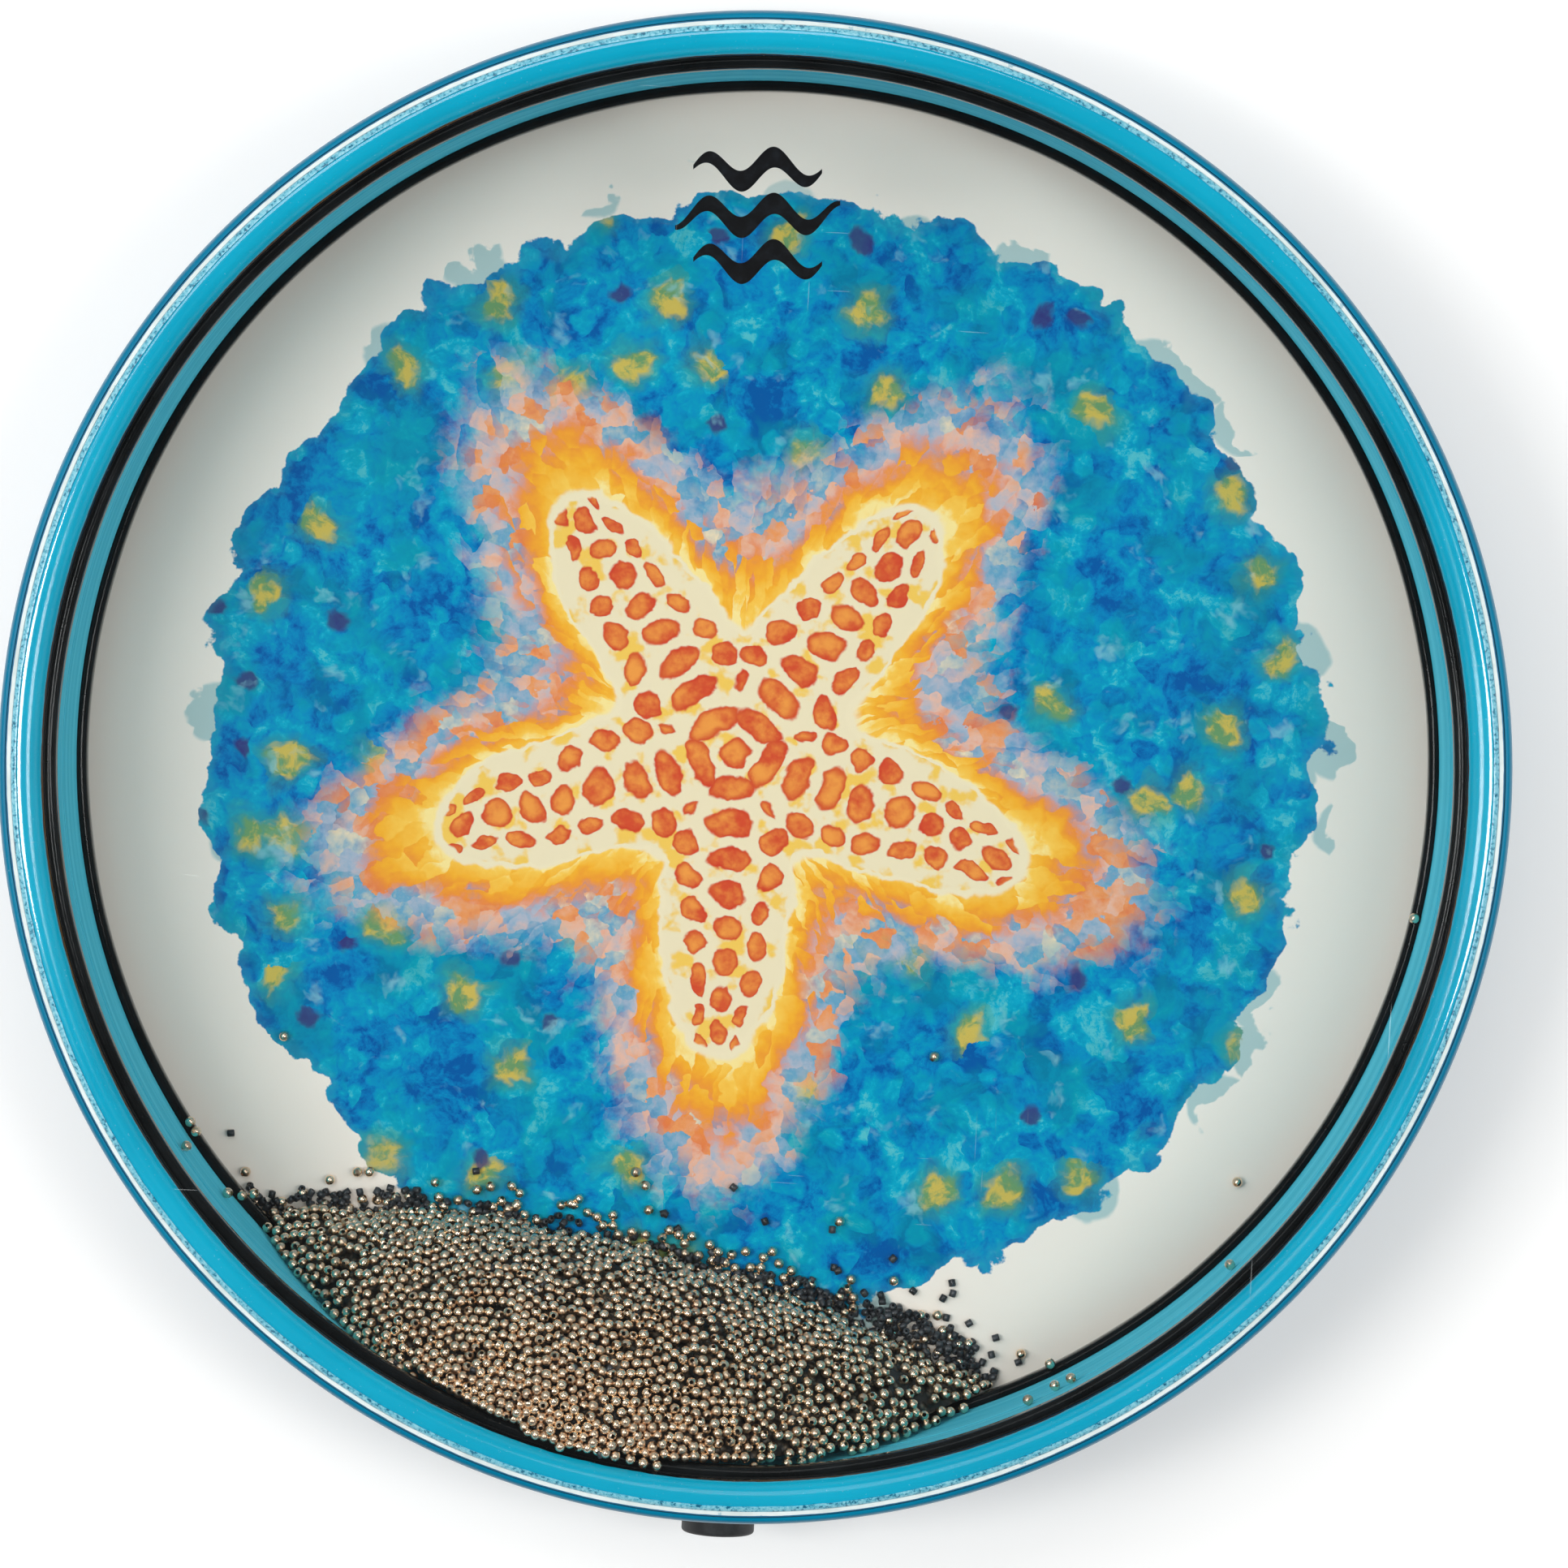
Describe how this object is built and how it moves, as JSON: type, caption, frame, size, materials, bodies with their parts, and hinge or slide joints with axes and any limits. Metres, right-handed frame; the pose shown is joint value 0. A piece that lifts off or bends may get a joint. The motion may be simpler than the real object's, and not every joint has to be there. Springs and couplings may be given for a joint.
{
  "type": "ocean drum",
  "caption": "Shallow round drum with a clear front head, a printed back head and loose metal beads inside, filled through a rubber plug in the rim.",
  "frame": {"origin": "centre of the back head's outer face, on which the drum lies", "axes": "+Z along the drum's axis, from the back head to the clear front head; -Y through the fill plug in the rim"},
  "size_m": [0.3048, 0.3106, 0.0635],
  "materials": {
    "sleeve": "glossy blue wrap",
    "shell": "glossy cyan lacquer over fibre shell",
    "flesh_hoop": "off-white, matt, chipped edge",
    "clear_film": "clear polyester drum film",
    "printed_film": "pale grey-green film with a round watercolour print",
    "seal": "black sealing cord",
    "plug_rubber": "satin black rubber",
    "bead_fill": "closely packed small beads",
    "silver_bead": "polished warm silver",
    "tube_bead": "dark gunmetal"
  },
  "bodies": {
    "drum": {"outer_sleeve": "sleeve", "front_shell": "shell", "back_shell": "shell", "front_flesh_hoop": "flesh_hoop", "back_flesh_hoop": "flesh_hoop", "front_head": "clear_film", "front_head_rim": "clear_film", "back_head": "printed_film", "back_head_rim": "printed_film", "front_seal": "seal", "back_seal": "seal"},
    "plug": {"fill_plug": "plug_rubber"},
    "beads": {"bead_bank": "bead_fill", "heap_beads_low": "silver_bead", "heap_beads_mid": "silver_bead", "heap_beads_high": "silver_bead", "heap_tube_beads": "tube_bead", "loose_silver_beads": "silver_bead", "loose_tube_beads": "tube_bead"}
  },
  "joints": [
    {"name": "plug_pull", "type": "slide", "parent": "drum", "child": "plug", "axis": [0, -1, 0], "range_m": [0, 0.025]},
    {"name": "bead_roll", "type": "hinge", "parent": "drum", "child": "beads", "pos_m": [0, 0, 0.03175], "axis": [0, 0, 1], "continuous": true}
  ]
}
